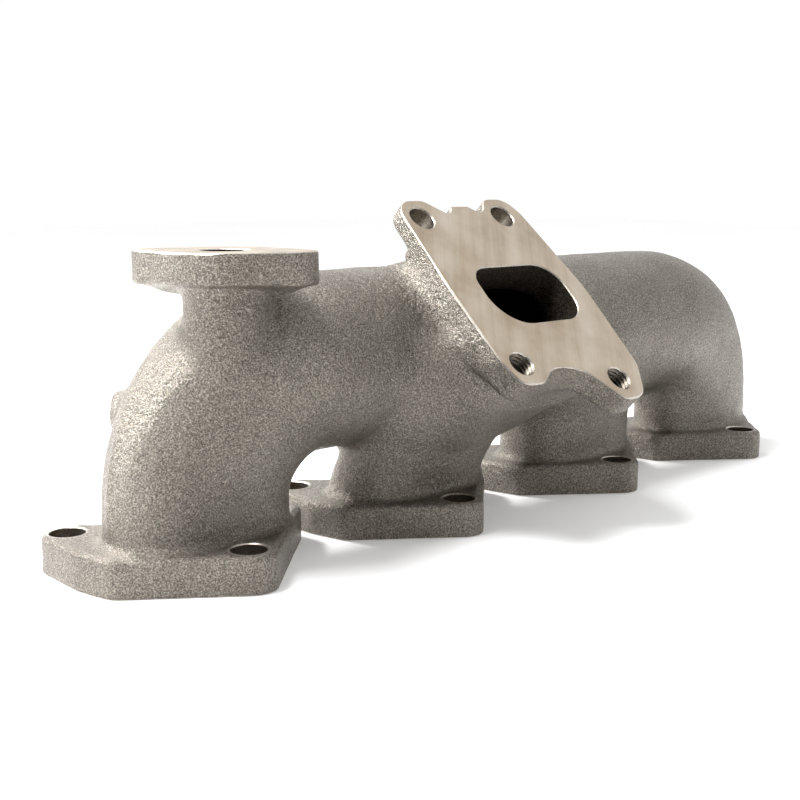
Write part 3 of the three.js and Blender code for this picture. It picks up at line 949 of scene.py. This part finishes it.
def speckled_iron(name, stops, cloud_colours, roughness_span, metallic):
    material, tree, shader, place = new_material(name)
    grain = add_node(tree, "ShaderNodeTexNoise", {}, {
        "Vector": place, "Scale": per_mm(GRAIN), "Detail": 3.0, "Roughness": 0.65})
    lump = add_node(tree, "ShaderNodeTexNoise", {}, {
        "Vector": place, "Scale": per_mm(LUMP), "Detail": 2.0, "Roughness": 0.5})
    cloud = add_node(tree, "ShaderNodeTexNoise", {}, {
        "Vector": place, "Scale": per_mm(CLOUD), "Detail": 2.0, "Roughness": 0.5})
    speckle = set_ramp(add_node(tree, "ShaderNodeValToRGB", {}, {
        "Fac": grain.outputs["Fac"]}), stops)
    tint = set_ramp(add_node(tree, "ShaderNodeValToRGB", {}, {
        "Fac": cloud.outputs["Fac"]}), cloud_colours)
    colour = add_node(tree, "ShaderNodeMix", {"data_type": "RGBA", "blend_type": "MULTIPLY"}, {
        "Factor": 1.0, "A": speckle, "B": tint})
    tree.links.new(colour.outputs["Result"], shader.inputs["Base Color"])
    rough = add_node(tree, "ShaderNodeMapRange", {}, {
        "Value": grain.outputs["Fac"], "From Min": 0.3, "From Max": 0.7,
        "To Min": roughness_span[0], "To Max": roughness_span[1]})
    tree.links.new(rough.outputs["Result"], shader.inputs["Roughness"])
    height = add_node(tree, "ShaderNodeMath", {"operation": "MULTIPLY_ADD"}, {
        0: lump.outputs["Fac"], 1: LUMP_SHARE, 2: grain.outputs["Fac"]})
    bump = add_node(tree, "ShaderNodeBump", {}, {
        "Height": height.outputs[0], "Distance": GRAIN * MM, "Strength": 1.0})
    tree.links.new(bump.outputs["Normal"], shader.inputs["Normal"])
    shader.inputs["Metallic"].default_value = metallic
    return material


cast_iron = speckled_iron(
    "shot_blasted_cast_iron", [(0.34, "#5c5955"), (0.5, "#827f79"), (0.68, "#b8b4ac")],
    [(0.3, "#ebe6e1"), (0.7, "#fffbf6")], (0.46, 0.32), 1.0)
# The passages' near-black colour is painted shade inside the tubes.
passage_iron_painted_shade = speckled_iron(
    "passage_iron_with_painted_shade", [(0.36, "#1f1c19"), (0.5, "#35302b"), (0.66, "#5a534b")],
    [(0.3, "#d9cfc2"), (0.7, "#fff4e4")], (0.8, 0.65), 0.7)
print("grain", GRAIN, "mm, lumps", LUMP, "mm")


# %% [markdown]
# ## Milled faces
# The turbocharger and relief faces are milled, then wiped with oil, which dries to a tan film.
# The cutter leaves fine parallel scratches. They are drawn as noise that is stretched about
# thirty times along the cutter's path. Real ones are 0.2 mm apart, which is too fine to show,
# so they are drawn 0.9 mm apart, with broad bands of 7 mm and stains of 16 mm in the film. The
# scratches move the gloss, and they whiten the colour in streaks, partly as tool marks and partly
# as painted sheen. The eye sees a dull tan sheen.

# %% Milled iron
SCRATCH, BAND, STAIN = 0.9, 7.0, 16.0  # mm
MILLING_TURN = math.radians(32)  # the cutter's path, from straight up the slope
milled_iron, tree, shader, place = new_material("milled_iron")
flat_place = add_node(tree, "ShaderNodeMapping", {}, {
    "Vector": place, "Rotation": (-TILT, 0, MILLING_TURN)})
stretched = add_node(tree, "ShaderNodeMapping", {}, {
    "Vector": flat_place.outputs[0], "Scale": (1.0, 0.03, 1.0)})
scratch = add_node(tree, "ShaderNodeTexNoise", {}, {
    "Vector": stretched.outputs[0], "Scale": per_mm(SCRATCH), "Detail": 3.0})
band = add_node(tree, "ShaderNodeTexNoise", {}, {
    "Vector": stretched.outputs[0], "Scale": per_mm(BAND), "Detail": 2.0})
stain = add_node(tree, "ShaderNodeTexNoise", {}, {
    "Vector": place, "Scale": per_mm(STAIN), "Detail": 3.0, "Roughness": 0.6})
streaks = add_node(tree, "ShaderNodeMath", {"operation": "MULTIPLY_ADD"}, {
    0: scratch.outputs["Fac"], 1: 0.45, 2: band.outputs["Fac"]})
film = set_ramp(add_node(tree, "ShaderNodeValToRGB", {}, {"Fac": stain.outputs["Fac"]}),
                [(0.3, "#b4a694"), (0.5, "#c2b6a6"), (0.72, "#cdc3b5")])
# The whiter streaks are partly tool marks and partly painted sheen.
streak_tone_and_painted_sheen = set_ramp(add_node(tree, "ShaderNodeValToRGB", {}, {"Fac": streaks.outputs[0]}),
                 [(0.5, "#e6e1da"), (0.72, "#f6f3ee"), (0.9, "#ffffff")])
colour = add_node(tree, "ShaderNodeMix", {"data_type": "RGBA", "blend_type": "MULTIPLY"}, {
    "Factor": 1.0, "A": film, "B": streak_tone_and_painted_sheen})
tree.links.new(colour.outputs["Result"], shader.inputs["Base Color"])
gloss = add_node(tree, "ShaderNodeMapRange", {}, {
    "Value": streaks.outputs[0], "From Min": 0.5, "From Max": 0.95,
    "To Min": 0.3, "To Max": 0.46})
tree.links.new(gloss.outputs["Result"], shader.inputs["Roughness"])
groove = add_node(tree, "ShaderNodeBump", {}, {
    "Height": scratch.outputs["Fac"], "Distance": 0.03 * MM, "Strength": 1.0})
tree.links.new(groove.outputs["Normal"], shader.inputs["Normal"])
shader.inputs["Metallic"].default_value = 0.95
print("milled iron: scratches", SCRATCH, "mm apart")


# %% [markdown]
# ## Drilled holes and broken edges
# A file leaves the brightest metal on the part, as it was cut last. The rims of the holes and
# faces are coloured bright partly for that fresh metal and partly as a painted highlight, so they
# show as thin bright lines. A drill and a tap leave iron that is nearly as clean, and the walls of
# the holes are painted darker, as painted shade inside them. Both have the same fine tool marks.

# %% Filed and drilled iron
TOOL_MARK = 0.6  # mm


def cut_surface(name, stops, roughness_span):
    material, tree, shader, place = new_material(name)
    rings = add_node(tree, "ShaderNodeTexNoise", {}, {
        "Vector": place, "Scale": per_mm(TOOL_MARK), "Detail": 2.0})
    tone = set_ramp(add_node(tree, "ShaderNodeValToRGB", {}, {
        "Fac": rings.outputs["Fac"]}), stops)
    tree.links.new(tone, shader.inputs["Base Color"])
    gloss = add_node(tree, "ShaderNodeMapRange", {}, {
        "Value": rings.outputs["Fac"], "To Min": roughness_span[0], "To Max": roughness_span[1]})
    tree.links.new(gloss.outputs["Result"], shader.inputs["Roughness"])
    shader.inputs["Metallic"].default_value = 1.0
    return material


# The rims' bright colour is partly fresh metal and partly a painted highlight.
filed_iron_painted_highlight = cut_surface("filed_iron_and_painted_highlight", [(0.3, "#a8a198"), (0.7, "#d0cac1")], (0.36, 0.5))
# The hole walls' dark colour is painted shade inside the holes.
drilled_iron_painted_shade = cut_surface("drilled_iron_painted_shade", [(0.3, "#6b645b"), (0.7, "#958d82")], (0.38, 0.5))
MATERIALS = [cast_iron, milled_iron, filed_iron_painted_highlight, passage_iron_painted_shade, drilled_iron_painted_shade]
CAST, MILLED, CUT, CORE, DRILLED = range(len(MATERIALS))
print(len(MATERIALS), "finishes on the part")


# %% [markdown]
# ## Which face is which
# After the booleans a face knows nothing of the tool that made it, so each is asked where it
# is. On the plane of a milled face it is milled, close to a hole's axis it is drilled, on the
# core's surface it is a passage, and everything else is the casting's skin. The same volume
# that made the skin also gives its exact direction, which keeps the shading smooth over the
# joints between sections. Both questions need the volume's value at any point.

# %% Sample a volume
def sample(volume, points):
    at = points / VOXEL - grid_start
    base = np.clip(np.floor(at).astype(int), 0, grid_size - 2)
    part = at - base
    found = np.zeros(len(points))
    for corner in np.ndindex(2, 2, 2):
        weight = np.prod(np.where(np.array(corner) == 1, part, 1 - part), axis=1)
        i, j, k = (base + corner).T
        found += weight * volume[i, j, k]
    return found


def downhill(volume, points, step=0.8):
    slope = np.stack([
        sample(volume, points + step * axis) - sample(volume, points - step * axis)
        for axis in np.eye(3)
    ], axis=1)
    return slope / np.maximum(np.linalg.norm(slope, axis=1), 1e-9)[:, None]


def local(points, where):
    return (points - where[0]) @ where[1].T


log_crest = np.array([[x_left + LOG_R, log_y, log_z + LOG_R]])
print("the skin on the log's crest faces", downhill(cast, log_crest).round(2))


# %% [markdown]
# ## Sorting the faces
# Zones do the sorting: a cylinder round each hole, a thin layer at each milled face and a thin
# layer round the core. A later rule wins over an earlier one, so the exact planes come last.

# %% Sort the faces
ON_PLANE = 0.02  # mm from a plane that still counts as on it
NEAR_CORE, RIM_DEEP = 0.35, 0.95  # mm from the core's surface, and mm below a milled face
ABOVE_FACE, MOUTH_DEEP = 1.0, 0.5  # a hole's zone ends above the face, its mouth below it
SLOPE, RIM_SLOPE, LEVEL = 0.5, 0.6, 0.99  # cosines of the angle to the face's direction
# For each hole: its frame, its place, the radius and the depth of its zone, and the face.
HOLES = [(where, bolt, HEAD_BOLT_R + 0.8, -1, FLANGE_TOP)
         for where in head_frames for bolt in HEAD_BOLTS]
HOLES += [(turbo_frame, hole, TOP_HOLE_R + 0.8, -8, 0) for hole in TOP_HOLES]
HOLES += [(turbo_frame, hole, TAP_ROOT_R + 0.9, -TAP_DEPTH - 0.2, 0) for hole in TAPPED_HOLES]


def sorted_faces(centres, normals):
    kinds = np.full(len(centres), CAST)
    kinds[np.abs(sample(gas, centres)) < NEAR_CORE] = CORE
    for where, hole, radius, deepest, face in HOLES:
        u, v, w = local(centres, where).T
        in_hole = (np.hypot(u - hole[0], v - hole[1]) < radius) & (w > deepest)
        in_hole &= w < face + ABOVE_FACE
        mouth = (np.abs(normals @ where[1][2]) > SLOPE) & (w > face - MOUTH_DEEP)
        kinds[in_hole] = np.where(mouth[in_hole], CUT, DRILLED)
    for where in (turbo_frame, relief_face):
        u, v, w = local(centres, where).T
        facing = normals @ where[1][2]
        near = (np.abs(u) < 45) & (np.abs(v) < 50)
        kinds[near & (w > -RIM_DEEP) & (facing > RIM_SLOPE) & (kinds != DRILLED)] = CUT
        kinds[near & (np.abs(w) < ON_PLANE) & (facing > LEVEL)] = MILLED
    kinds[(np.abs(centres[:, 2]) < ON_PLANE) & (normals[:, 2] < -LEVEL)] = MILLED
    return kinds


print(len(HOLES), "holes to look for")


# %% [markdown]
# ## Finishing a section
# Each section gets the finishes, face by face. Its corners get the exact direction of the
# volume where they lie on the cast skin or in a passage, and stay flat where a tool cut them.
# The mesh is turned into metres last.

# %% Finish a section
SAME_WAY = 0.6  # cosine of the angle up to which a volume's direction is trusted


def read(items, field, width=1, kind=float):
    values = np.empty(len(items) * width, kind)
    items.foreach_get(field, values)
    return values.reshape(-1, width) if width > 1 else values


def finish_piece(name, data):
    points = read(data.vertices, "co", 3)
    corners = read(data.loops, "vertex_index", kind=int)
    normals = read(data.polygons, "normal", 3)
    kinds = sorted_faces(read(data.polygons, "center", 3), normals)
    face_of = np.repeat(np.arange(len(kinds)), read(data.polygons, "loop_total", kind=int))
    corner_normals = normals[face_of].copy()
    for kind, volume, way in ((CAST, cast, 1), (CORE, gas, -1)):
        smooth_normals = way * downhill(volume, points)
        agree = np.einsum("ij,ij->i", smooth_normals[corners], normals[face_of]) > SAME_WAY
        chosen = agree & (kinds[face_of] == kind)
        corner_normals[chosen] = smooth_normals[corners[chosen]]
    data.materials.clear()
    for look in MATERIALS:
        data.materials.append(look)
    data.polygons.foreach_set("material_index", kinds.astype(np.int32))
    data.polygons.foreach_set("use_smooth", np.ones(len(kinds), bool))
    data.vertices.foreach_set("co", (points * MM).ravel())
    data.normals_split_custom_set(corner_normals.tolist())
    data.update()
    piece = bpy.data.objects.new(name + "_casting", data)
    bpy.context.scene.collection.objects.link(piece)
    return piece


# %% [markdown]
# ## Joining the frame
# Each section rides on the one rigid body and replaces its engineering node. The tools of the
# workshop are then cleared away.

# %% Hand the sections to the frame
for name, data in sections.items():
    piece = finish_piece(name, data)
    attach(piece, "root")
    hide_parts(name)
for leftover in list(workshop.objects):
    bpy.data.objects.remove(leftover)
bpy.data.collections.remove(workshop)
print(len(sections), "sections finished")


# %% [markdown]
# ## The room
# A plain white floor in matt paint, which spreads the light evenly and is all but one white.
# It lies a hair below the part, so that the two planes never flicker.

# %% Floor
FLOOR_HALF = 3.0  # m
floor_data = bpy.data.meshes.new("floor")
floor_corners = [(-1, -1, 0), (1, -1, 0), (1, 1, 0), (-1, 1, 0)]
floor_data.from_pydata([Vector(c) * FLOOR_HALF for c in floor_corners], [], [(0, 1, 2, 3)])
floor = bpy.data.objects.new("floor", floor_data)
floor.location.z = -0.0003
bpy.context.scene.collection.objects.link(floor)
white_paint, tree, shader, place = new_material("matt_white_paint")
paper = set_ramp(add_node(tree, "ShaderNodeValToRGB", {}, {
    "Fac": add_node(tree, "ShaderNodeTexNoise", {}, {
        "Vector": place, "Scale": per_mm(400.0)}).outputs["Fac"]}),
    [(0.3, "#f4f4f4"), (0.7, "#f8f8f8")])
tree.links.new(paper, shader.inputs["Base Color"])
shader.inputs["Roughness"].default_value = 0.9
shader.inputs["Emission Color"].default_value = (1, 1, 1, 1)
# A little light of its own keeps the far floor as white as the wall behind it.
shader.inputs["Emission Strength"].default_value = 0.2
floor_data.materials.append(white_paint)
print("floor", 2 * FLOOR_HALF, "m wide")


# %% [markdown]
# ## The surround
# Metal looks like what it reflects. A white sweep behind and above the part lights its upper
# faces, and the dark room in front of it gives the sides and undersides their deeper grey. One
# smooth step from dark to white along one direction does both.

# %% Surround
SWEEP_WAY = Vector((0.5, 0.6, 0.62)).normalized()  # the white sweep, behind and above
SWEEP_STARTS, SWEEP_FULL = -0.35, 0.3  # cosines of the angle to that direction
ROOM_DARK, ROOM_BRIGHT = 0.015, 1.02
world = bpy.data.worlds.new("white_room")
bpy.context.scene.world = world
world.use_nodes = True
tree = world.node_tree
ray = add_node(tree, "ShaderNodeTexCoord").outputs["Generated"]
towards_sweep = add_node(tree, "ShaderNodeVectorMath", {"operation": "DOT_PRODUCT"}, {
    0: ray, 1: SWEEP_WAY})
brightness = add_node(tree, "ShaderNodeMapRange", {"interpolation_type": "SMOOTHSTEP"}, {
    "Value": towards_sweep.outputs["Value"], "From Min": SWEEP_STARTS, "From Max": SWEEP_FULL,
    "To Min": ROOM_DARK, "To Max": ROOM_BRIGHT})
tree.nodes["Background"].inputs["Color"].default_value = (1, 1, 1, 1)
tree.links.new(brightness.outputs["Result"], tree.nodes["Background"].inputs["Strength"])
print("surround from", ROOM_DARK, "to", ROOM_BRIGHT)


# %% [markdown]
# ## Three soft boxes
# One hangs above and lights the plates. The strongest stands behind and draws the bright streak
# on the crest of the first runner. A weak one on the left opens the shadow side. All are wide
# enough to give the shadow a soft edge. Colours are shown as they are, with no film curve.

# %% Lights
def soft_box(name, at, aim, size, watts):
    data = bpy.data.lights.new(name, "AREA")
    data.shape, data.size, data.energy = "SQUARE", size, watts
    lamp = bpy.data.objects.new(name, data)
    lamp.location = at
    lamp.rotation_euler = (Vector(aim) - Vector(at)).to_track_quat("-Z", "Y").to_euler()
    bpy.context.scene.collection.objects.link(lamp)


soft_box("top_box", (-0.4, 0.12, 0.9), (-0.1, 0, 0.05), 0.26, 8)
soft_box("back_box", (-0.3, 0.7, 0.75), (-0.12, 0, 0.05), 0.2, 14)
soft_box("left_box", (-1.0, 0.5, 0.4), (-0.1, 0, 0.05), 0.35, 4)
bpy.context.scene.view_settings.view_transform = "Standard"
print(len(bpy.data.lights), "soft boxes")
